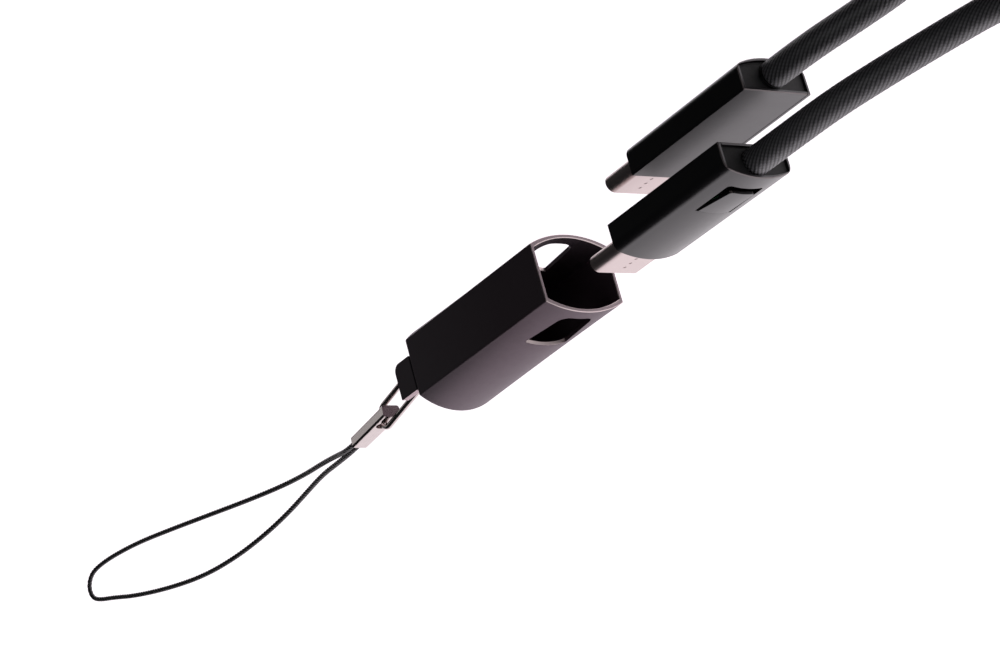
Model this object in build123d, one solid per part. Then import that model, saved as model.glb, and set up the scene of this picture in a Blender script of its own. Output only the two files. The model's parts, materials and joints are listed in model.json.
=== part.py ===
from build123d import *
import math
import os

os.makedirs("parts", exist_ok=True)

# Lanyard charging lead: two D-shaped USB-C plugs on one braided cable, and a
# metal cap that holds both plugs back to back, with a wrist strap on its tail.
#
# Millimetres. +X runs from the strap to the cable, +Z is up, and the cap lies
# on one of its flat sides. The origin is the centre of the cap's resting side.

# ---- cap -------------------------------------------------------------------
CAP_LENGTH = 31.2
CAP_WIDTH = 13.3          # between the flat sides
CAP_EDGE = 8.4            # height of each flat side
MOUTH_BULGE = 1.55        # rise of each arched face at the mouth
TAIL_BULGE = 2.5          # and at the closed end
TAIL_R = 0.5              # rounding where the arched faces meet the end
CAP_WALL = 0.5
CAP_END_WALL = 1.0
CAP_CORNER_R = 0.25
ARCH_SPARE = 1.0          # how far each arch is drawn past the flat sides that trim it
RIM_BREAK = 0.09          # broken edge round the cap's mouth
WINDOW_LENGTH = 8.0
WINDOW_FROM_MOUTH = 1.95
WINDOW_WIDE = 7.0         # at the end far from the mouth
WINDOW_NARROW = 5.2       # at the end near the mouth
WINDOW_NARROW_R = 1.6
WINDOW_WIDE_R = 0.3

# ---- lug on the cap's tail ---------------------------------------------------
LUG_LENGTH = 3.8
LUG_NEAR_Y = -3.3
LUG_FAR_Y = 1.9
LUG_THICK = 1.0
LUG_GAP = 3.8
LUG_FAR_R = 1.2
LUG_NEAR_R = 0.2
PIN_R = 0.6
PIN_FROM_CAP = 2.0
PIN_CLEAR = 0.02

# ---- wire ring and crimp -----------------------------------------------------
WIRE_R = 0.45
RING_HALF_WIDTH = 1.75    # centre of the wire
RING_ROLL = 5.0
EYE = Vector(-30.2, -1.8, 9.4)
EYE_R = 1.0
CRIMP_TOP = Vector(-27.0, -1.62, 9.8)
CRIMP_END = Vector(-38.1, -1.85, 8.4)
CRIMP_TOP_SIZE = (2.8, 1.8)
CRIMP_END_SIZE = (2.5, 1.8)
CRIMP_R = 0.4
CRIMP_BORE_DEPTH = 3.0

# ---- strap cord --------------------------------------------------------------
STRAP_D = 0.75
STRAP_SPREAD = 0.45       # each end of the cord from the crimp's axis
STRAP_LEAD = 3.0          # straight length outside the crimp
STRAP_POINTS = [
    (-48.6, 0.2, 5.5), (-55.0, 1.6, 3.6), (-62.5, 2.9, 1.7), (-71.0, 4.3, 0.6), (-81.0, 6.0, 0.4),
    (-93.0, 8.2, 0.4), (-105.5, 10.5, 0.4), (-116.5, 12.4, 0.4), (-125.5, 13.4, 0.4),
    (-131.3, 13.6, 0.4), (-134.4, 13.1, 0.4), (-136.0, 11.3, 0.4), (-135.3, 9.1, 0.4),
    (-132.6, 7.9, 0.4), (-128.6, 6.8, 0.4), (-121.5, 4.5, 0.4), (-110.5, 1.8, 0.4),
    (-99.0, -0.3, 0.4), (-88.5, -1.0, 0.4), (-79.0, -0.8, 0.4), (-71.0, -0.2, 0.6),
    (-63.0, 0.1, 1.9), (-55.6, 0.0, 3.6), (-48.9, -0.8, 5.2),
]

# ---- plug --------------------------------------------------------------------
PLUG_LENGTH = 23.0
PLUG_WIDTH = 11.3
PLUG_EDGE = 3.55          # flat face to the start of the arch
PLUG_BULGE = 1.25
PLUG_WALL = 0.4
PLUG_FRONT = 0.8
PLUG_SHOULDER_R = 1.4
PLUG_CORNER_R = 0.12
END_BREAK = 0.12          # broken edge round both ends of a plug
PLUG_A_AT = (35.65, 4.0, 5.65)
PLUG_B_AT = (29.7, -0.05, 6.65)
FIT = 0.02                # gap between fitted pieces
SEAM = 0.12
LIP = 0.5                 # housing edge beside the flat cover

# ---- connector (USB Type-C plug sizes) ---------------------------------------
SHELL_W = 8.25
SHELL_T = 2.4
SHELL_WALL = 0.3
SHELL_OUT = 6.65
SHELL_IN = 4.0
SHELL_MID = 2.3           # centre of the connector from the flat face
CAVITY_W = 6.7
CAVITY_T = 0.85
CAVITY_DEPTH = 5.2
CONTACT_PITCH = 0.5
CONTACT_W = 0.25
CONTACT_T = 0.12
CONTACT_L = 3.6
CONTACTS_PER_ROW = 12
WELD_COUNT = 4
WELD_R = 0.22
WELD_PITCH = 1.25

# ---- inside the plug ---------------------------------------------------------
BOARD = (9.0, 7.8, 0.6)
MOULD_END = 9.0
CHIP = (2.0, 2.0, 0.7)
WIRE_D = 0.8
WIRE_PITCH = 0.9
REAR_LENGTH = 2.3
REAR_RECESS = 0.4

# ---- latch tongue ------------------------------------------------------------
SLOT_ROOT = 9.7           # from the plug's rear
SLOT_END = 2.85
SLOT_HALF = 2.95
TONGUE_ROOT = 9.67
TONGUE_END = 3.75
TONGUE_ROOT_HALF = 2.5
TONGUE_END_HALF = 2.0
TONGUE_LIFT = 3.0         # degrees proud of the arch when free

# ---- cable -------------------------------------------------------------------
CABLE_D = 3.75
CABLE_MID = 2.4           # cable centre from the plug's flat face
FLEX_GAP = 0.55           # lets plug A swing on its cable
ROUTE_A = [
    (65.4, 6.4, 5.65), (72.5, 6.7, 4.1), (80.5, 7.3, 2.3), (89.5, 8.4, 1.9), (98.5, 10.7, 2.0),
    (107.5, 14.4, 2.3), (117.5, 17.3, 2.5), (128.0, 17.6, 2.5),
]
ROUTE_B = [
    (59.4, -2.45, 6.65), (67.0, -2.0, 5.8), (75.0, -1.7, 4.1), (83.5, -1.6, 2.4), (92.0, -2.2, 1.9),
    (100.5, -4.8, 2.3), (108.5, -9.0, 3.9), (117.5, -12.6, 5.7), (128.0, -13.2, 6.3),
]

# ---- hank of spare cable -----------------------------------------------------
HANK_MID = (149.0, 2.2)
HANK_STRAIGHT = 60.0
HANK_INNER_R = 11.5
HANK_PITCH = 3.9
HANK_BOTTOM = 0.62
HANK_HEIGHT = 7.65
TIE_WIDTH = 12.0
TIE_THICK = 0.6

ARC_SHARE = 0.45          # share of the shorter run that a cord's arc takes


def d_profile(width, edge, bulge, flat=0.0):
    """D section on the YZ plane: flat at y = -flat, arch towards -Y."""
    half = width / 2
    with BuildSketch(Plane.YZ) as sketch:
        with BuildLine():
            Polyline((-edge, -half), (-flat, -half), (-flat, half), (-edge, half))
            ThreePointArc((-edge, half), (-edge - bulge, 0), (-edge, -half))
        make_face()
    return sketch.sketch


def prism(face, start, length):
    """Face on the YZ plane, run along +X from start."""
    return Pos(start, 0, 0) * extrude(face, length, dir=(1, 0, 0))


def block(x0, x1, y0, y1, z0, z1):
    """Box between two corners."""
    return Pos((x0 + x1) / 2, (y0 + y1) / 2, (z0 + z1) / 2) * Box(x1 - x0, y1 - y0, z1 - z0)


def rod(radius, x0, x1, y, z):
    """Round rod along X."""
    return Pos((x0 + x1) / 2, y, z) * Rot(0, 90, 0) * Cylinder(radius, x1 - x0)


def stadium(width, thick, x0, x1, mid_y):
    """Connector outline, a slot shape across Z, run along X."""
    face = Plane.YZ * Rot(0, 0, 90) * SlotOverall(width, thick)
    return Pos(0, mid_y, 0) * prism(face, x0, x1 - x0)


def cord(points, diameter, label):
    """Tube of straight runs and tangent arcs through hand-set points."""
    points = [Vector(*p) for p in points]
    runs = [b - a for a, b in zip(points, points[1:])]
    radii = []
    for before, after in zip(runs, runs[1:]):
        turn = math.radians(before.get_angle(after))
        radii.append(ARC_SHARE * min(before.length, after.length) / math.tan(turn / 2))
    path = FilletPolyline(*points, radius=radii)
    section = Plane(origin=points[0], z_dir=runs[0]) * Circle(diameter / 2)
    tube = sweep(section, path=path)
    expected = math.pi * diameter**2 / 4 * path.length
    print(f"{label}: length {path.length:.1f}, tightest radius {min(radii):.2f},",
          f"runs {min(r.length for r in runs):.1f} to {max(r.length for r in runs):.1f},",
          f"volume over section x length {tube.volume / expected:.4f}")
    return tube


def save(name, shape):
    """One STEP file per node."""
    shape.label = name
    export_step(shape, f"parts/{name}.step")


# ==== cap =====================================================================
def cap_profile(x, inset):
    """Outline at x: two arches that rise more towards the closed end, drawn past the flat sides."""
    half_w = CAP_WIDTH / 2 - inset
    mid = CAP_WIDTH / 2
    bulge = MOUTH_BULGE + (TAIL_BULGE - MOUTH_BULGE) * (0.5 - x / CAP_LENGTH)
    radius = (half_w**2 + bulge**2) / (2 * bulge)
    reach = half_w + ARCH_SPARE
    crown = CAP_EDGE / 2 - inset + bulge
    edge = crown - radius + math.sqrt(radius**2 - reach**2)
    with BuildSketch(Plane.YZ.offset(x)) as sketch:
        with BuildLine():
            Line((edge, mid - reach), (-edge, mid - reach))
            ThreePointArc((-edge, mid - reach), (-crown, mid), (-edge, mid + reach))
            Line((-edge, mid + reach), (edge, mid + reach))
            ThreePointArc((edge, mid + reach), (crown, mid), (edge, mid - reach))
        make_face()
    return sketch.sketch


def cap_body(x0, x1, inset):
    """Lofted arches trimmed to two plane sides, with the four long corners rounded."""
    body = loft([cap_profile(x0, inset), cap_profile(x1, inset)], ruled=True)
    body = body & block(x0, x1, -CAP_WIDTH, CAP_WIDTH, inset, CAP_WIDTH - inset)
    return fillet([e for e in body.edges() if e.length > 0.9 * (x1 - x0)], CAP_CORNER_R)


def lug_outline():
    x0 = -CAP_LENGTH / 2 - LUG_LENGTH
    mid_y = (LUG_NEAR_Y + LUG_FAR_Y) / 2
    face = Pos(x0 + LUG_LENGTH / 2, mid_y) * Rectangle(LUG_LENGTH, LUG_FAR_Y - LUG_NEAR_Y)
    near, far = face.vertices().sort_by(Axis.X)[:2].sort_by(Axis.Y)
    face = fillet(near, LUG_NEAR_R)
    far = face.vertices().group_by(Axis.Y)[-1].sort_by(Axis.X)[0]
    return fillet(far, LUG_FAR_R)


def cap_shell():
    tail, mouth = -CAP_LENGTH / 2, CAP_LENGTH / 2
    outer = cap_body(tail, mouth, 0)
    end_edges = outer.faces().sort_by(Axis.X)[0].edges()
    outer = fillet([e for e in end_edges if abs(e.center().Y) > CAP_EDGE / 2 + 0.5], TAIL_R)
    shell = outer - cap_body(tail + CAP_END_WALL, mouth, CAP_WALL)
    rim = shell.faces().sort_by(Axis.X)[-1]
    shell = chamfer(rim.edges(), RIM_BREAK)
    x1 = CAP_LENGTH / 2 - WINDOW_FROM_MOUTH
    x0 = x1 - WINDOW_LENGTH
    mid = CAP_WIDTH / 2
    with BuildSketch(Plane.XZ) as window:
        with BuildLine():
            Polyline((x0, mid - WINDOW_WIDE / 2), (x1, mid - WINDOW_NARROW / 2),
                     (x1, mid + WINDOW_NARROW / 2), (x0, mid + WINDOW_WIDE / 2), close=True)
        make_face()
        fillet(window.vertices().group_by(Axis.X)[-1], WINDOW_NARROW_R)
        fillet(window.vertices().group_by(Axis.X)[0], WINDOW_WIDE_R)
    shell -= extrude(window.sketch, CAP_WIDTH, both=True)
    for z in (CAP_WIDTH - LUG_THICK, CAP_WIDTH - 2 * LUG_THICK - LUG_GAP):
        shell += Pos(0, 0, z) * extrude(lug_outline(), LUG_THICK, dir=(0, 0, 1))
    return shell - Pos(PIN_X, 0, PIN_MID_Z) * Cylinder(PIN_R + PIN_CLEAR, PIN_LENGTH)


PIN_X = -CAP_LENGTH / 2 - PIN_FROM_CAP
PIN_LENGTH = LUG_GAP + 1.2 * LUG_THICK
PIN_MID_Z = CAP_WIDTH - LUG_THICK - LUG_GAP / 2
save("cap_shell", cap_shell())
save("lug_pin", Pos(PIN_X, 0, PIN_MID_Z) * Cylinder(PIN_R, PIN_LENGTH))


# ==== ring, crimp and strap cord ==============================================
PIN_POINT = Vector(PIN_X, 0, PIN_MID_Z)
RING_AXIS = (EYE - PIN_POINT).normalized()
LEVEL_SIDE = RING_AXIS.cross(Vector(0, 0, 1)).normalized()
RING_SIDE = (LEVEL_SIDE * -1).rotate(Axis((0, 0, 0), RING_AXIS), RING_ROLL)
RING_PLANE = Plane(origin=PIN_POINT, x_dir=RING_AXIS, z_dir=RING_AXIS.cross(RING_SIDE))
CRIMP_AXIS = (CRIMP_END - CRIMP_TOP).normalized()
EYE_AXIS = (RING_SIDE - CRIMP_AXIS * RING_SIDE.dot(CRIMP_AXIS)).normalized()
CRIMP_ACROSS = CRIMP_AXIS.cross(EYE_AXIS)


def strap_ring():
    near = -(PIN_R + WIRE_R + 0.05)
    far = (EYE - PIN_POINT).length
    r = RING_HALF_WIDTH
    with BuildLine(RING_PLANE) as path:
        Line((near + r, r), (far - r, r))
        ThreePointArc((far - r, r), (far, 0), (far - r, -r))
        Line((far - r, -r), (near + r, -r))
        ThreePointArc((near + r, -r), (near, 0), (near + r, r))
    start = path.line @ 0
    section = Plane(origin=start, z_dir=path.line % 0) * Circle(WIRE_R)
    return sweep(section, path=path.line)


def crimp_section(origin, size):
    plane = Plane(origin=origin, x_dir=CRIMP_ACROSS, z_dir=CRIMP_AXIS)
    return plane * RectangleRounded(size[0], size[1], CRIMP_R)


def strap_crimp():
    body = loft([crimp_section(CRIMP_TOP, CRIMP_TOP_SIZE), crimp_section(CRIMP_END, CRIMP_END_SIZE)])
    eye = Plane(origin=EYE, z_dir=EYE_AXIS) * Cylinder(EYE_R, 4 * RING_HALF_WIDTH)
    body -= eye
    for side in (1, -1):
        mouth = CRIMP_END + CRIMP_ACROSS * side * STRAP_SPREAD
        bore = Plane(origin=mouth, z_dir=CRIMP_AXIS * -1) * Pos(0, 0, CRIMP_BORE_DEPTH / 2)
        body -= bore * Cylinder(STRAP_D / 2 + FIT / 2, CRIMP_BORE_DEPTH)
    return body


def strap_route():
    mouths = [CRIMP_END + CRIMP_ACROSS * side * STRAP_SPREAD for side in STRAP_SIDES]
    ends = [mouth - CRIMP_AXIS * CRIMP_BORE_DEPTH for mouth in mouths]
    leads = [mouth + CRIMP_AXIS * STRAP_LEAD for mouth in mouths]
    return [ends[0], leads[0], *[Vector(*p) for p in STRAP_POINTS], leads[1], ends[1]]


STRAP_SIDES = (1, -1) if CRIMP_ACROSS.Y > 0 else (-1, 1)
save("strap_ring", strap_ring())
save("strap_crimp", strap_crimp())
save("strap_cord", cord([tuple(p) for p in strap_route()], STRAP_D, "strap_cord"))


# ==== plug ====================================================================
PLUG_DEPTH = PLUG_EDGE + PLUG_BULGE
HALF = PLUG_WIDTH / 2
CAVITY = d_profile(PLUG_WIDTH - 2 * PLUG_WALL, PLUG_EDGE, PLUG_BULGE - PLUG_WALL, flat=PLUG_WALL)
CORE = d_profile(PLUG_WIDTH - 2 * PLUG_WALL - 2 * FIT, PLUG_EDGE - FIT,
                 PLUG_BULGE - PLUG_WALL - FIT, flat=PLUG_WALL + FIT)
CONNECTOR_Y = -SHELL_MID
REAR_X0 = PLUG_LENGTH - REAR_RECESS - REAR_LENGTH
REAR_X1 = PLUG_LENGTH - REAR_RECESS


def outer_body():
    body = prism(d_profile(PLUG_WIDTH, PLUG_EDGE, PLUG_BULGE), 0, PLUG_LENGTH)
    long_edges = body.edges().filter_by(Axis.X)
    body = fillet([e for e in long_edges if e.center().Y < -1], PLUG_SHOULDER_R)
    flat_edges = [e for e in body.edges().filter_by(Axis.X) if abs(e.center().Y) < 0.01]
    body = fillet(flat_edges, PLUG_CORNER_R)
    ends = body.faces().sort_by(Axis.X)
    return chamfer([*ends[0].edges(), *ends[-1].edges()], END_BREAK)


def tongue_region(root, end, root_half, end_half):
    """Prism through the arch, tapered in plan, measured from the rear."""
    x0 = PLUG_LENGTH - root
    x1 = PLUG_LENGTH - end
    with BuildSketch(Plane.XZ) as plan:
        with BuildLine():
            Polyline((x0, -root_half), (x1, -end_half), (x1, end_half), (x0, root_half), close=True)
        make_face()
        fillet(plan.vertices().group_by(Axis.X)[-1], 0.6)
    return extrude(plan.sketch, -PLUG_DEPTH * 2, dir=(0, 1, 0)) & block(
        x0 - 1, x1 + 1, -PLUG_DEPTH - 1, -PLUG_DEPTH + 2.4, -HALF, HALF)


def housing(body, cover_space):
    shell = body - prism(CAVITY, PLUG_FRONT, PLUG_LENGTH) - cover_space
    shell -= stadium(SHELL_W + 2 * FIT, SHELL_T + 2 * FIT, -1, PLUG_FRONT + 1, CONNECTOR_Y)
    return shell - tongue_region(SLOT_ROOT, SLOT_END, SLOT_HALF, SLOT_HALF)


def latch_tongue(body):
    arch = body - prism(CAVITY, -1, PLUG_LENGTH + 2)
    tongue = arch & tongue_region(TONGUE_ROOT, TONGUE_END, TONGUE_ROOT_HALF, TONGUE_END_HALF)
    return tongue.rotate(Axis(TONGUE_PIVOT, (0, 0, 1)), -TONGUE_LIFT)


def contact_bars():
    """Two rows of springs on the cavity's inner faces, open to the front."""
    x0 = -SHELL_OUT + 1.0
    bars = []
    for side in (1, -1):
        face = CONNECTOR_Y + side * CAVITY_T / 2
        for i in range(CONTACTS_PER_ROW):
            z = (i - (CONTACTS_PER_ROW - 1) / 2) * CONTACT_PITCH
            y0, y1 = sorted((face, face + side * CONTACT_T))
            bars.append(block(x0, x0 + CONTACT_L, y0, y1, z - CONTACT_W / 2, z + CONTACT_W / 2))
    return bars


def retention_bars():
    """Side springs that grip the socket's tongue."""
    x0 = -SHELL_OUT + 1.0
    bars = []
    for side in (1, -1):
        z0, z1 = sorted((side * CAVITY_W / 2, side * (CAVITY_W / 2 + 0.15)))
        bars.append(block(x0, x0 + CONTACT_L, CONNECTOR_Y - 0.3, CONNECTOR_Y + 0.3, z0, z1))
    return bars


def usb_shell():
    shell = stadium(SHELL_W, SHELL_T, -SHELL_OUT, SHELL_IN, CONNECTOR_Y)
    shell -= stadium(SHELL_W - 2 * SHELL_WALL, SHELL_T - 2 * SHELL_WALL, -SHELL_OUT - 1,
                     SHELL_IN + 1, CONNECTOR_Y)
    for side in (1, -1):
        for i in range(WELD_COUNT):
            x = -SHELL_OUT + 1.7 + i * WELD_PITCH
            weld = Pos(x, CONNECTOR_Y + side * SHELL_T / 2, 0) * Rot(90, 0, 0) * Cylinder(WELD_R, 0.1)
            shell -= weld
    return shell


def insulator():
    body = stadium(SHELL_W - 2 * SHELL_WALL - 2 * FIT, SHELL_T - 2 * SHELL_WALL - 2 * FIT,
                   -SHELL_OUT + 0.5, SHELL_IN, CONNECTOR_Y)
    body -= block(-SHELL_OUT - 1, -SHELL_OUT + 0.5 + CAVITY_DEPTH, CONNECTOR_Y - CAVITY_T / 2,
                  CONNECTOR_Y + CAVITY_T / 2, -CAVITY_W / 2, CAVITY_W / 2)
    for bar in contact_bars() + retention_bars():
        body -= bar
    return body


def board():
    length, width, thick = BOARD
    return block(SHELL_IN, SHELL_IN + length, CONNECTOR_Y - thick / 2, CONNECTOR_Y + thick / 2,
                 -width / 2, width / 2)


def board_components():
    """Marker chip and four passive parts on the arched side of the board."""
    top = CONNECTOR_Y - BOARD[2] / 2
    parts = [block(5.6, 5.6 + CHIP[0], top - CHIP[2], top, -CHIP[1] / 2, CHIP[1] / 2)]
    for x in (9.6, 11.2):
        for z in (-2.0, 2.0):
            parts.append(block(x, x + 1.0, top - 0.45, top, z - 0.3, z + 0.3))
    return parts


def inner_mould():
    """Moulded block round the back of the connector and the front of the board."""
    body = prism(CORE, PLUG_FRONT + FIT, MOULD_END - PLUG_FRONT)
    body -= stadium(SHELL_W + 2 * FIT, SHELL_T + 2 * FIT, 0, SHELL_IN, CONNECTOR_Y)
    length, width, thick = BOARD
    body -= block(SHELL_IN, SHELL_IN + length, CONNECTOR_Y - thick / 2 - FIT,
                  CONNECTOR_Y + thick / 2 + FIT, -width / 2 - FIT, width / 2 + FIT)
    top = CONNECTOR_Y - thick / 2
    return body - block(5.5, 5.7 + CHIP[0], top - CHIP[2] - FIT, top, -CHIP[1] / 2 - FIT,
                        CHIP[1] / 2 + FIT)


def wires():
    """Four insulated conductors from the board to the cable."""
    y = CONNECTOR_Y + BOARD[2] / 2 + WIRE_D / 2
    zs = [(i - 1.5) * WIRE_PITCH for i in range(4)]
    return [rod(WIRE_D / 2, 10.5, REAR_X0, y, z) for z in zs]


def rear_bush():
    return prism(CORE, REAR_X0, REAR_LENGTH) - rod(CABLE_D / 2 + FIT, REAR_X0 - 1, REAR_X1 + 1, -CABLE_MID, 0)


def plug_pieces():
    body = outer_body()
    cover_space = block(-1, PLUG_LENGTH + 1, -PLUG_WALL, 1, -HALF - 1, HALF - LIP)
    cover_keep = block(0, PLUG_LENGTH, -PLUG_WALL + FIT, 1, -HALF - 1, HALF - LIP - SEAM)
    return {
        "housing": housing(body, cover_space),
        "flat_cover": body & cover_keep,
        "latch_tongue": latch_tongue(body),
        "usb_shell": usb_shell(),
        "contact_block": insulator(),
        "contacts": Compound(children=contact_bars()),
        "grip_springs": Compound(children=retention_bars()),
        "circuit_board": board(),
        "board_parts": Compound(children=board_components()),
        "inner_mould": inner_mould(),
        "wires": Compound(children=wires()),
        "rear_bush": rear_bush(),
        "cable_end": rod(CABLE_D / 2, REAR_X0, PLUG_LENGTH, -CABLE_MID, 0),
    }


TONGUE_PIVOT = (PLUG_LENGTH - TONGUE_ROOT, -PLUG_DEPTH + PLUG_WALL / 2, 0)
PLACES = {
    "plug_a": Pos(*PLUG_A_AT) * Rot(180, 0, 0),
    "plug_b": Pos(*PLUG_B_AT),
}
for plug, place in PLACES.items():
    for piece, shape in plug_pieces().items():
        save(f"{plug}_{piece}", place * shape)
    pivot = place * Pos(*TONGUE_PIVOT)
    print(plug, "latch pivot", [round(v, 4) for v in pivot.position])


# ==== cable and hank ==========================================================
START_A = (PLUG_A_AT[0] + PLUG_LENGTH + FLEX_GAP, PLUG_A_AT[1] + CABLE_MID, PLUG_A_AT[2])
START_B = (PLUG_B_AT[0] + PLUG_LENGTH, PLUG_B_AT[1] - CABLE_MID, PLUG_B_AT[2])
HANK_OUT_R = HANK_INNER_R + HANK_PITCH + CABLE_D / 2


def hank():
    outline = SlotCenterToCenter(HANK_STRAIGHT, 2 * HANK_OUT_R)
    slab = extrude(outline, HANK_HEIGHT)
    slab = fillet(slab.edges(), CABLE_D / 2 - 0.05)
    return Pos(*HANK_MID, HANK_BOTTOM) * slab


def tie():
    inner = (2 * HANK_OUT_R + 2 * FIT, HANK_HEIGHT + 2 * FIT)
    face = RectangleRounded(inner[0] + 2 * TIE_THICK, inner[1] + 2 * TIE_THICK, CABLE_D / 2)
    face -= RectangleRounded(inner[0], inner[1], CABLE_D / 2 - TIE_THICK)
    band = extrude(Plane.YZ * face, TIE_WIDTH / 2, both=True)
    return Pos(*HANK_MID, HANK_BOTTOM + HANK_HEIGHT / 2) * band


save("cable_a", cord([START_A, *ROUTE_A], CABLE_D, "cable_a"))
save("cable_b", cord([START_B, *ROUTE_B], CABLE_D, "cable_b"))
save("cable_hank", hank())
save("hank_tie", tie())
print("ring axis", [round(v, 4) for v in RING_AXIS], "eye axis", [round(v, 4) for v in EYE_AXIS],
      "crimp across", [round(v, 4) for v in CRIMP_ACROSS], "pin", [round(v, 3) for v in PIN_POINT])
print("strap route", [tuple(round(v, 2) for v in p) for p in strap_route()])
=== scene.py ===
import json
import math

import bpy
import numpy as np
from mathutils import Matrix, Vector


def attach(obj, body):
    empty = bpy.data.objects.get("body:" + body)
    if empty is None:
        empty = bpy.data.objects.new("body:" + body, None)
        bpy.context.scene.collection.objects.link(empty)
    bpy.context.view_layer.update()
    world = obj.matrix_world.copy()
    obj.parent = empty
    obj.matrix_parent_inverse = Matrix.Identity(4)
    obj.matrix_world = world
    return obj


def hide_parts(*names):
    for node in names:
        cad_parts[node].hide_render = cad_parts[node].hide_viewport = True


# A lanyard charging lead: arched metal cap with a wrist strap, and two flat-backed
# USB-C plugs on one braided cable whose spare length lies folded in a tied hank.
# Metres, in the CAD's frame: +X from the strap to the cable, +Z up, floor at Z = 0.

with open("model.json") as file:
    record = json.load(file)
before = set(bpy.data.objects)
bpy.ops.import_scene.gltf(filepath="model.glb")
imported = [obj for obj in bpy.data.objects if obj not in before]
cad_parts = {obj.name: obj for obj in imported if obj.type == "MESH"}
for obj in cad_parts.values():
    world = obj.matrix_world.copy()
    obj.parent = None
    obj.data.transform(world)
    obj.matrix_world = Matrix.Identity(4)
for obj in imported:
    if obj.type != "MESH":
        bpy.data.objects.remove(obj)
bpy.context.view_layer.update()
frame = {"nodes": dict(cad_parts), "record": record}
MM = 0.001

# ---- cord routes (mm), the same points as in the CAD -----------------------------
STRAP_ENDS = [
    (-35.18, -1.76, 9.22), (-41.13, -1.88, 8.47), (-41.02, -1.94, 7.58), (-35.07, -1.82, 8.33),
]
STRAP_POINTS = [
    (-48.6, 0.2, 5.5), (-55.0, 1.6, 3.6), (-62.5, 2.9, 1.7), (-71.0, 4.3, 0.6), (-81.0, 6.0, 0.4),
    (-93.0, 8.2, 0.4), (-105.5, 10.5, 0.4), (-116.5, 12.4, 0.4), (-125.5, 13.4, 0.4),
    (-131.3, 13.6, 0.4), (-134.4, 13.1, 0.4), (-136.0, 11.3, 0.4), (-135.3, 9.1, 0.4),
    (-132.6, 7.9, 0.4), (-128.6, 6.8, 0.4), (-121.5, 4.5, 0.4), (-110.5, 1.8, 0.4),
    (-99.0, -0.3, 0.4), (-88.5, -1.0, 0.4), (-79.0, -0.8, 0.4), (-71.0, -0.2, 0.6),
    (-63.0, 0.1, 1.9), (-55.6, 0.0, 3.6), (-48.9, -0.8, 5.2),
]
START_A = (58.64, 6.4, 5.65)
ROUTE_A = [
    (65.4, 6.4, 5.65), (72.5, 6.7, 4.1), (80.5, 7.3, 2.3), (89.5, 8.4, 1.9), (98.5, 10.7, 2.0),
    (107.5, 14.4, 2.3), (117.5, 17.3, 2.5), (128.0, 17.6, 2.5),
]
START_B = (52.35, -2.45, 6.65)
ROUTE_B = [
    (59.4, -2.45, 6.65), (67.0, -2.0, 5.8), (75.0, -1.7, 4.1), (83.5, -1.6, 2.4), (92.0, -2.2, 1.9),
    (100.5, -4.8, 2.3), (108.5, -9.0, 3.9), (117.5, -12.6, 5.7), (128.0, -13.2, 6.3),
]

# ---- cords -----------------------------------------------------------------------
CABLE_D = 3.75
STRAP_D = 0.75
CABLE_END_R = 1.68        # trimmed end inside plug A's recess, clear of the bush as it swings
CABLE_END_SLOPE = 0.6
BRAID_STRANDS = 21        # in each direction
BRAID_LAY = 17.0          # mm of cable for one turn of a strand
BRAID_GROOVE_DEPTH = 0.075
RIB_RISE = 0.10
CROSS_RISE = 0.02         # of the strands that cross the ribs
CABLE_STEP = 0.3 * MM     # between rings of the mesh
CABLE_AROUND = 96         # points round each ring
STRAP_STEP = 0.16 * MM
STRAP_AROUND = 18
PLY_LAY = 2.4             # mm of thread for one turn of a ply
PLIES = 3
PLY_GROOVE_DEPTH = 0.05
PLY_RISE = 0.085
HANK_MID = (149.0, 2.2)
HANK_STRAIGHT = 60.0
HANK_INNER_R = 11.5
HANK_OUTER_R = 15.4
HANK_CROSSING_R = 13.2    # where the cable steps from the outer fold to the inner one
LAYER_LOW = 2.5           # height of the lower layer's centre at the tie
LAYER_DROOP = 0.55        # how far the folds sink to the floor beyond the tie
LAYER_STEP = 3.85
FOLD_STEPS = 8            # spans of the cord's route in each fold

# ---- camera ----------------------------------------------------------------------
CAMERA_AT = Vector((0.26746, -0.12559, 0.23691))
CAMERA_RIGHT = Vector((0.55826, -0.24953, -0.79125))
CAMERA_DOWN = Vector((-0.41567, -0.90949, -0.00645))
FOCAL_PX = 2730.0
IMAGE_WIDTH_PX = 1000.0
SENSOR_MM = 36.0


def make_camera():
    data = bpy.data.cameras.new("camera")
    data.sensor_width = SENSOR_MM
    data.lens = FOCAL_PX / IMAGE_WIDTH_PX * SENSOR_MM
    data.clip_start, data.clip_end = 0.01, 20
    camera = bpy.data.objects.new("camera", data)
    right = CAMERA_RIGHT.normalized()
    back = right.cross(-CAMERA_DOWN).normalized()
    up = back.cross(right)
    turned = Matrix((right, up, back)).transposed().to_4x4()
    camera.matrix_world = Matrix.Translation(CAMERA_AT) @ turned
    bpy.context.scene.collection.objects.link(camera)
    bpy.context.scene.camera = camera


def smooth_line(points, step):
    """Evenly spaced points on the NURBS spline that these millimetre points control."""
    curve = bpy.data.curves.new("route", "CURVE")
    curve.dimensions = "3D"
    curve.resolution_u = 24
    spline = curve.splines.new("NURBS")
    spline.points.add(len(points) - 1)
    for place, point in zip(spline.points, points):
        place.co = (*(c * MM for c in point), 1)
    spline.order_u = 3
    spline.use_endpoint_u = True
    holder = bpy.data.objects.new("route", curve)
    bpy.context.scene.collection.objects.link(holder)
    bpy.context.view_layer.update()
    mesh = bpy.data.meshes.new_from_object(holder)
    line = np.array([v.co for v in mesh.vertices])
    bpy.data.objects.remove(holder)
    bpy.data.meshes.remove(mesh)
    along = np.concatenate([[0], np.cumsum(np.linalg.norm(np.diff(line, axis=0), axis=1))])
    places = np.concatenate([np.arange(0, along[-1] - step / 2, step), [along[-1]]])
    return np.stack([np.interp(places, along, line[:, i]) for i in range(3)], axis=1), places


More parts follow.
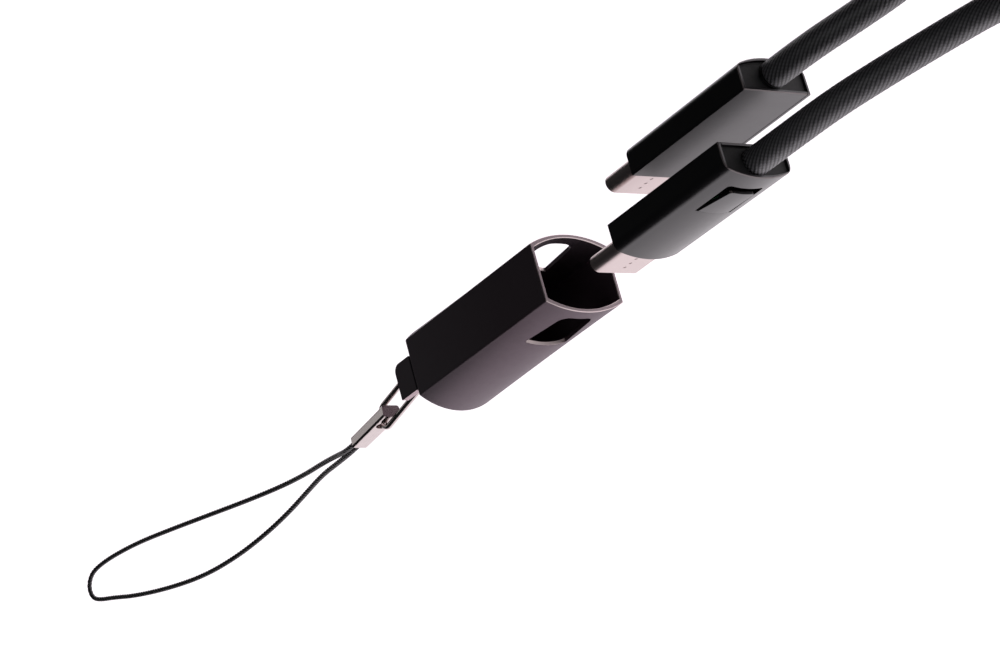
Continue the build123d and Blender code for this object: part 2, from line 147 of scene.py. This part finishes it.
def ring_frames(line):
    """Two directions across the line at each point, carried along it without twist."""
    ahead = np.gradient(line, axis=0)
    ahead /= np.linalg.norm(ahead, axis=1)[:, None]
    side = np.empty_like(line)
    current = np.cross(ahead[0], (0, 0, 1.0))
    for i, direction in enumerate(ahead):
        current = current - direction * current.dot(direction)
        current /= np.linalg.norm(current)
        side[i] = current
    return side, np.cross(ahead, side)


def tube(name, line, places, around, radius_of):
    """Closed mesh tube. radius_of(angle, place) gives its surface, and the UVs hold turn and place."""
    side, up = ring_frames(line)
    angle = np.arange(around) * 2 * math.pi / around
    radius = radius_of(angle[None, :], places[:, None])
    offset = (np.cos(angle)[None, :, None] * side[:, None] + np.sin(angle)[None, :, None] * up[:, None])
    verts = (line[:, None] + offset * radius[:, :, None]).reshape(-1, 3)
    rings = len(line)
    i, j = np.meshgrid(np.arange(rings - 1), np.arange(around), indexing="ij")
    nxt = (j + 1) % around
    quads = np.stack([i * around + j, i * around + nxt, (i + 1) * around + nxt, (i + 1) * around + j], -1)
    quads = quads.reshape(-1, 4)
    caps = [list(range(around))[::-1], list(range((rings - 1) * around, rings * around))]
    mesh = bpy.data.meshes.new(name)
    mesh.vertices.add(len(verts))
    mesh.vertices.foreach_set("co", verts.ravel())
    corners = np.concatenate([quads.ravel(), *caps])
    mesh.loops.add(len(corners))
    mesh.loops.foreach_set("vertex_index", corners)
    starts = np.concatenate([np.arange(len(quads)) * 4, [len(quads) * 4, len(quads) * 4 + around]])
    mesh.polygons.add(len(starts))
    mesh.polygons.foreach_set("loop_start", starts)
    mesh.update(calc_edges=True)
    turn = np.stack([j, j + 1, j + 1, j], -1).reshape(-1) / around
    place = places[np.stack([i, i, i + 1, i + 1], -1).reshape(-1)] * 1000
    uv = np.zeros((len(corners), 2))
    uv[: len(turn), 0], uv[: len(turn), 1] = turn, place
    mesh.uv_layers.new(name="weave").data.foreach_set("uv", uv.ravel())
    mesh.shade_smooth()
    mesh.validate()
    piece = bpy.data.objects.new(name, mesh)
    bpy.context.scene.collection.objects.link(piece)
    return piece


def hank_route():
    """Two and a half turns: outer then inner fold low, then over them, leaving on the -Y side."""
    mid_x, mid_y = HANK_MID
    half = HANK_STRAIGHT / 2
    low, fold_low = LAYER_LOW, LAYER_LOW - LAYER_DROOP
    high, fold_high = low + LAYER_STEP, fold_low + LAYER_STEP
    swell = 1 / math.cos(math.pi / FOLD_STEPS / 2)
    route = []

    def straight(side, places, radii, heights):
        for place, radius, height in zip(places, radii, heights):
            route.append((mid_x + place * half, mid_y + side * radius, height))

    def fold(end, first_r, last_r, height):
        for k in range(FOLD_STEPS + 1):
            share = k / FOLD_STEPS
            turn = math.pi * share
            radius = (first_r + (last_r - first_r) * share) * swell
            across = math.cos(turn) * radius * end
            out = math.sin(turn) * radius * end
            route.append((mid_x + end * half + out, mid_y + across, height))

    inner, outer = HANK_INNER_R, HANK_OUTER_R
    straight(1, (-0.45, 0, 0.5), (outer,) * 3, (low, low, low))
    fold(1, outer, outer, fold_low)
    straight(-1, (0.5, 0, -0.35, -0.75), (outer, outer, HANK_CROSSING_R, inner), (low,) * 4)
    fold(-1, inner, inner, fold_low)
    straight(1, (-0.5, 0, 0.5), (inner,) * 3, (low,) * 3)
    fold(1, inner, inner, fold_low)
    straight(-1, (0.75, 0.35, 0, -0.5), (inner,) * 4, (low + 0.6, high - 0.8, high, high))
    fold(-1, inner, inner, fold_high)
    straight(1, (-0.5, 0, 0.5), (inner,) * 3, (high,) * 3)
    fold(1, inner, outer, fold_high)
    straight(-1, (0.5, 0, -0.5), (outer,) * 3, (high,) * 3)
    return route


def braid_radius(angle, place):
    """Ribs of the dominant strands with the crossing ones under them."""
    turns = angle / (2 * math.pi) * BRAID_STRANDS
    travel = place * 1000 / BRAID_LAY * BRAID_STRANDS
    main = np.abs(np.sin(math.pi * (turns + travel)))
    cross = np.abs(np.sin(math.pi * (turns - travel)))
    woven = CABLE_D / 2 - BRAID_GROOVE_DEPTH + RIB_RISE * main ** 0.8 + CROSS_RISE * cross
    trimmed = CABLE_END_R + CABLE_END_SLOPE * place / MM
    return np.minimum(woven, trimmed) * MM


def strap_radius(angle, place):
    """Three plies laid round each other."""
    ply = np.abs(np.cos(PLIES / 2 * (angle - place * 1000 / PLY_LAY * 2 * math.pi)))
    return (STRAP_D / 2 - PLY_GROOVE_DEPTH + PLY_RISE * ply) * MM


def make_cable():
    route = [START_A, *ROUTE_A[:-1], *hank_route(), *reversed(ROUTE_B[:-1]), START_B]
    line, places = smooth_line(route, CABLE_STEP)
    piece = tube("braided_cable", line, places, CABLE_AROUND, braid_radius)
    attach(piece, "lead")
    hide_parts("cable_a", "cable_b", "cable_hank")
    return piece


def make_strap():
    route = [*STRAP_ENDS[:2], *STRAP_POINTS, *STRAP_ENDS[2:]]
    line, places = smooth_line(route, STRAP_STEP)
    piece = tube("wrist_strap", line, places, STRAP_AROUND, strap_radius)
    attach(piece, "strap")
    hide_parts("strap_cord")
    return piece


make_camera()
cable = make_cable()
strap = make_strap()


# ---- materials -------------------------------------------------------------------
class Shader:
    """A Principled material with short ways to add nodes."""

    def __init__(self, name):
        self.material = bpy.data.materials.new(name)
        self.material.use_nodes = True
        self.tree = self.material.node_tree
        self.bsdf = self.tree.nodes["Principled BSDF"]

    def set(self, **values):
        for name, value in values.items():
            self.bsdf.inputs[name.replace("_", " ")].default_value = value
        return self

    def node(self, kind, *inputs, **settings):
        made = self.tree.nodes.new(f"ShaderNode{kind}")
        for name, value in settings.items():
            setattr(made, name, value)
        for socket, value in zip(made.inputs, inputs):
            self.feed(value, socket)
        return made

    def feed(self, value, socket):
        if value is None:
            return
        if isinstance(value, bpy.types.Node):
            value = value.outputs[0]
        if isinstance(value, bpy.types.NodeSocket):
            self.tree.links.new(value, socket)
        else:
            socket.default_value = value

    def math(self, operation, *inputs):
        return self.node("Math", *inputs, operation=operation)

    def to(self, value, name):
        self.feed(value, self.bsdf.inputs[name])

    def coords(self, output="Object"):
        return self.node("TexCoord").outputs[output]

    def noise(self, scale, detail=2.0, coords=None):
        made = self.node("TexNoise")
        self.feed(self.coords() if coords is None else coords, made.inputs["Vector"])
        made.inputs["Scale"].default_value = scale
        made.inputs["Detail"].default_value = detail
        return made.outputs["Fac"]

    def span(self, value, low, high):
        """value from 0..1 to low..high."""
        return self.node("MapRange", value, 0.0, 1.0, low, high)

    def mix(self, share, first, second):
        made = self.node("Mix", data_type="RGBA")
        self.feed(share, made.inputs["Factor"])
        self.feed(first, made.inputs["A"])
        self.feed(second, made.inputs["B"])
        return made.outputs["Result"]

    def bump(self, height, distance, strength=1.0):
        made = self.node("Bump")
        made.inputs["Strength"].default_value = strength
        made.inputs["Distance"].default_value = distance
        self.feed(height, made.inputs["Height"])
        self.to(made, "Normal")


def colour(*rgb):
    return (*rgb, 1.0)


def anodised(name, base, rough, ior, tint, cut_mask, painted_tail_light=None):
    """Bead-blasted, black-dyed aluminium; painted light makes it paler towards its closed end when a
    painted_tail_light colour is given.

    cut_mask(shader) is 1 on edges machined bright."""
    s = Shader(name)
    s.set(IOR=ior, Specular_Tint=colour(*tint))
    drift = s.noise(180, 3)
    tone = s.mix(drift, colour(*base), colour(*(c * 1.5 for c in base)))
    # painted light: the base colour pales towards the cap's closed end (low X), a painted highlight standing
    # in for the brighter light there
    if painted_tail_light:
        along = s.node("SeparateXYZ", s.coords()).outputs["X"]
        tone = s.mix(s.node("MapRange", along, -0.016, 0.006, 1.0, 0.0), tone, colour(*painted_tail_light))
    mask = cut_mask(s)
    s.to(s.mix(mask, tone, colour(0.66, 0.58, 0.57)), "Base Color")
    s.to(mask, "Metallic")
    s.to(s.node("MapRange", mask, 0.0, 1.0, s.span(s.noise(900, 3), *rough), 0.45), "Roughness")
    s.bump(s.noise(14000, 2), 0.000004, 0.35)
    return s.material


def between(s, value, low, high):
    """1 where value lies between two limits."""
    return s.math("MULTIPLY", s.math("GREATER_THAN", value, low), s.math("LESS_THAN", value, high))


MOUTH_RIM_X = 0.0154      # just inside the cap's mouth
TAIL_X = -0.01562         # just past the cap's closed end


def cap_cut_mask(s):
    """Bright on the mouth's broken edges, the windows' cut ends and the lug's sides, duller on the rim."""
    place = s.node("SeparateXYZ", s.coords("Object"))
    facing = s.node("SeparateXYZ", s.coords("Normal"))
    at_mouth = s.math("GREATER_THAN", place.outputs["X"], MOUTH_RIM_X)
    rim = s.math("MULTIPLY", at_mouth, s.math("GREATER_THAN", facing.outputs["X"], 0.92))
    broken = s.math("MULTIPLY", at_mouth, between(s, facing.outputs["X"], 0.35, 0.92))
    window = s.math("MULTIPLY", between(s, place.outputs["X"], 0.0, MOUTH_RIM_X),
                    s.math("GREATER_THAN", facing.outputs["X"], 0.35))
    sideways = s.math("GREATER_THAN", s.math("ABSOLUTE", facing.outputs["Y"]), 0.8)
    lug = s.math("MULTIPLY", sideways, s.math("LESS_THAN", place.outputs["X"], TAIL_X))
    bright = s.math("MAXIMUM", broken, s.math("MAXIMUM", window, s.math("MULTIPLY", lug, 0.7)))
    return s.math("MULTIPLY_ADD", rim, 0.33, bright)


def plug_cut_mask(s):
    """1 on the plug's broken end edges."""
    facing = s.node("SeparateXYZ", s.coords("Normal"))
    slanted = between(s, s.math("ABSOLUTE", facing.outputs["X"]), 0.5, 0.9)
    return s.math("MULTIPLY", slanted, 0.25)


def metal(name, base, rough, marks=1.0, brushed=0.0):
    """Plated or bare metal, brushed along X, with handling marks."""
    s = Shader(name)
    s.set(Metallic=1.0)
    s.to(s.mix(s.noise(700, 3), colour(*base), colour(*(c * (1 - 0.2 * marks) for c in base))), "Base Color")
    s.to(s.span(s.noise(3000, 3), rough * (1 - 0.25 * marks), rough * (1 + 0.35 * marks)), "Roughness")
    streaks = s.node("Mapping", s.coords())
    streaks.inputs["Scale"].default_value = (900, 9000, 9000)
    s.bump(s.noise(1.0, 2, streaks), 0.000002, 0.15 * marks + brushed)
    return s.material


def plastic(name, base, rough):
    """Moulded plastic or rubber with a fine texture."""
    s = Shader(name)
    s.to(s.mix(s.noise(500, 3), colour(*base), colour(*(c * 1.3 + 0.003 for c in base))), "Base Color")
    s.to(s.span(s.noise(2500, 3), rough * 0.85, min(1.0, rough * 1.15)), "Roughness")
    s.bump(s.noise(16000, 2), 0.000005, 0.4)
    return s.material


def braid(name, strands, lay, groove_shade_colour, light):
    """Nylon yarns along the ribs of the tube's relief, read from its turn and place, with painted highlight
    on the rib crests and painted shade in the grooves between them.
    """
    s = Shader(name)
    s.set(Roughness=0.42, IOR=1.85, Sheen_Weight=0.05, Sheen_Roughness=0.4)
    uv = s.node("SeparateXYZ", s.coords("UV"))
    turns = s.math("MULTIPLY", uv.outputs["X"], float(strands))
    travel = s.math("MULTIPLY", uv.outputs["Y"], strands / lay)
    main = s.math("ABSOLUTE", s.math("SINE", s.math("MULTIPLY", s.math("ADD", turns, travel), math.pi)))
    cross = s.math("ABSOLUTE", s.math("SINE", s.math("MULTIPLY", s.math("SUBTRACT", turns, travel), math.pi)))
    fuzz = s.noise(5000, 3)
    # painted light: the base colour runs from near-black painted shade in the grooves to a paler painted
    # highlight on the rib crests, with random fuzz
    weave = s.math("MULTIPLY", s.math("POWER", main, 1.6), s.math("MULTIPLY_ADD", cross, 0.4, 0.6))
    shade = s.math("MULTIPLY", weave, s.span(fuzz, 0.55, 1.3))
    s.to(s.mix(shade, colour(*groove_shade_colour), colour(*light)), "Base Color")
    yarns = s.math("SINE", s.math("MULTIPLY", s.math("ADD", turns, travel), math.pi * 10))
    height = s.math("MULTIPLY_ADD", yarns, 0.25, s.math("ADD", weave, fuzz))
    s.bump(height, 0.00003, 0.6)
    return s.material


def thread(name):
    """Waxed black thread, its base colour with painted shade in the grooves between the plies and painted
    highlight on their crests.
    """
    s = Shader(name)
    s.set(Roughness=0.5, Sheen_Weight=0.1)
    uv = s.node("SeparateXYZ", s.coords("UV"))
    lay = s.math("MULTIPLY", uv.outputs["Y"], 1.0 / PLY_LAY)
    ply = s.math("ABSOLUTE", s.math("COSINE", s.math(
        "MULTIPLY", s.math("SUBTRACT", uv.outputs["X"], lay), PLIES * math.pi)))
    # painted light: the ply pattern makes the colour near-black in the grooves (painted shade) and paler on
    # the crests (painted highlight), broken up by noise
    s.to(s.mix(s.math("MULTIPLY", ply, s.noise(3000, 3)), colour(0.004, 0.004, 0.005),
               colour(0.07, 0.07, 0.075)), "Base Color")
    s.bump(s.noise(9000, 2), 0.00001, 0.5)
    return s.material


def tie_fabric(name):
    """Hook-and-loop tape: a mat of fine loops."""
    s = Shader(name)
    s.set(Roughness=0.9, Sheen_Weight=0.4)
    loops = s.node("TexVoronoi")
    s.feed(s.coords(), loops.inputs["Vector"])
    loops.inputs["Scale"].default_value = 3500.0
    tone = s.mix(loops.outputs["Distance"], colour(0.05, 0.05, 0.052), colour(0.012, 0.012, 0.013))
    s.to(tone, "Base Color")
    s.bump(loops.outputs["Distance"], 0.00008, 0.7)
    return s.material


materials = {
    # the cap's painted_tail_light colour is painted light: a paler closed end where the light falls brighter
    "cap_metal": anodised("cap_anodised", (0.012, 0.010, 0.0115), (0.50, 0.57), 2.0,
                          (1.0, 0.72, 0.88), cap_cut_mask, painted_tail_light=(0.05, 0.05, 0.053)),
    "plug_cover": anodised("plug_anodised", (0.006, 0.0057, 0.0062), (0.27, 0.33), 1.65,
                           (1.0, 0.98, 1.0), plug_cut_mask),
    "connector_steel": metal("connector_plate", (0.63, 0.54, 0.53), 0.36, marks=0.2, brushed=0.02),
    "connector_plastic": plastic("connector_plastic", (0.015, 0.015, 0.016), 0.55),
    "contact_gold": metal("contact_gold", (0.83, 0.60, 0.24), 0.25),
    "spring_steel": metal("spring_steel", (0.55, 0.55, 0.56), 0.35, brushed=0.2),
    "board_green": plastic("board_mask", (0.015, 0.09, 0.04), 0.3),
    "component_black": plastic("component_body", (0.02, 0.02, 0.022), 0.5),
    "mould_plastic": plastic("inner_mould", (0.03, 0.03, 0.033), 0.6),
    "wire_insulation": plastic("wire_insulation", (0.3, 0.04, 0.03), 0.45),
    "bush_plastic": plastic("bush_plastic", (0.002, 0.002, 0.0022), 0.7),
    # cable braid colours: near-black painted shade for the grooves, paler painted highlight for the rib
    # crests
    "cable_braid": braid("cable_braid", BRAID_STRANDS, BRAID_LAY, (0.002, 0.002, 0.0025),
                         (0.24, 0.235, 0.255)),
    "bright_steel": metal("bright_steel", (0.60, 0.53, 0.52), 0.17, marks=0.8),
    "strap_thread": thread("strap_thread"),
    "tie_rubber": tie_fabric("tie_tape"),
}
for part in frame["record"]["subparts"]:
    node = frame["nodes"][part["node"]]
    node.data.materials.clear()
    node.data.materials.append(materials[part["material_slot"]])
cable.data.materials.append(materials["cable_braid"])
strap.data.materials.append(materials["strap_thread"])


# ---- floor and light ---------------------------------------------------------------
FLOOR_HALF = 3.0          # m
FLOOR_GAP = 0.0001        # keeps the floor just under the resting faces
LIGHT_AIM = (0.02, 0, 0)   # between the cap and the plugs
CRIMP_AT = (-0.033, -0.002, 0.009)


def make_floor():
    """A pale glowing table, so that the object stands on white with no hard shadow."""
    mesh = bpy.data.meshes.new("floor")
    corners = [(x * FLOOR_HALF, y * FLOOR_HALF, 0) for x, y in ((-1, -1), (1, -1), (1, 1), (-1, 1))]
    mesh.from_pydata(corners, [], [(0, 1, 2, 3)])
    floor = bpy.data.objects.new("floor", mesh)
    floor.location.z = -FLOOR_GAP
    bpy.context.scene.collection.objects.link(floor)
    s = Shader("floor_white")
    s.set(Base_Color=colour(0.9, 0.9, 0.9), Roughness=0.9,
          Emission_Color=colour(1, 0.945, 0.985),
          Emission_Strength=1.15)
    mesh.materials.append(s.material)


def area_light(name, at, aim, size, power):
    data = bpy.data.lights.new(name, "AREA")
    data.shape, data.size, data.energy = "DISK", size, power
    light = bpy.data.objects.new(name, data)
    light.location = at
    light.rotation_euler = (Vector(aim) - Vector(at)).to_track_quat("-Z", "Y").to_euler()
    bpy.context.scene.collection.objects.link(light)


def make_world():
    world = bpy.data.worlds.new("studio")
    world.use_nodes = True
    tree = world.node_tree
    background = tree.nodes["Background"]
    seen = tree.nodes.new("ShaderNodeLightPath")
    pick = tree.nodes.new("ShaderNodeMix")
    pick.data_type = "RGBA"
    pick.inputs["A"].default_value = colour(0.012, 0.012, 0.013)
    pick.inputs["B"].default_value = colour(1, 1, 1)
    tree.links.new(seen.outputs["Is Camera Ray"], pick.inputs["Factor"])
    tree.links.new(pick.outputs["Result"], background.inputs["Color"])
    bpy.context.scene.world = world


make_floor()
area_light("top_soft", (0.25, -0.35, 0.6), LIGHT_AIM, 0.35, 0.38)
area_light("strap_glint", (-0.468, 0.186, 0.169), CRIMP_AT, 0.16, 0.035)
make_world()
bpy.context.scene.view_settings.view_transform = "Standard"
